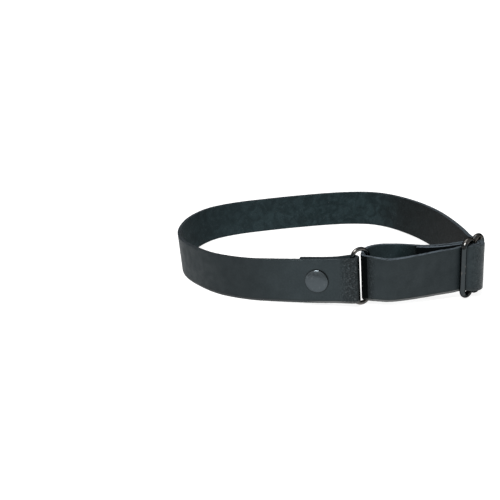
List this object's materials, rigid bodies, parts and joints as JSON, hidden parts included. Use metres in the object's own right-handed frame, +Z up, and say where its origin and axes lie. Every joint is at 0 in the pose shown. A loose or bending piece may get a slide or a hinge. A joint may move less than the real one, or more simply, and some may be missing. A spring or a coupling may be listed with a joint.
{
  "type": "shirt sleeve holder",
  "caption": "Adjustable leather arm band with a riveted fold, a wire ring and a wire slide, worn over a shirt sleeve to hold the cuff up",
  "frame": {"origin": "middle of the bounding box, on the plane that the band's lower edge, ring and slide stand on", "axes": "+X along the band's long side towards the slide, +Y from the riveted front to the back, +Z up across the strap's width"},
  "size_m": [0.1306, 0.1068, 0.0258],
  "materials": {
    "leather": "charcoal leather, smooth and faintly creased outside, fine suede inside, pale slate fibres on the cut edges",
    "wire": "black nickel plated wire, semi-gloss",
    "rivet": "gunmetal plated rivet, satin"
  },
  "bodies": {
    "root": {"strap": "leather", "ring": "wire", "slide": "wire", "front_rivet": "rivet", "end_rivet": "rivet"}
  },
  "joints": []
}
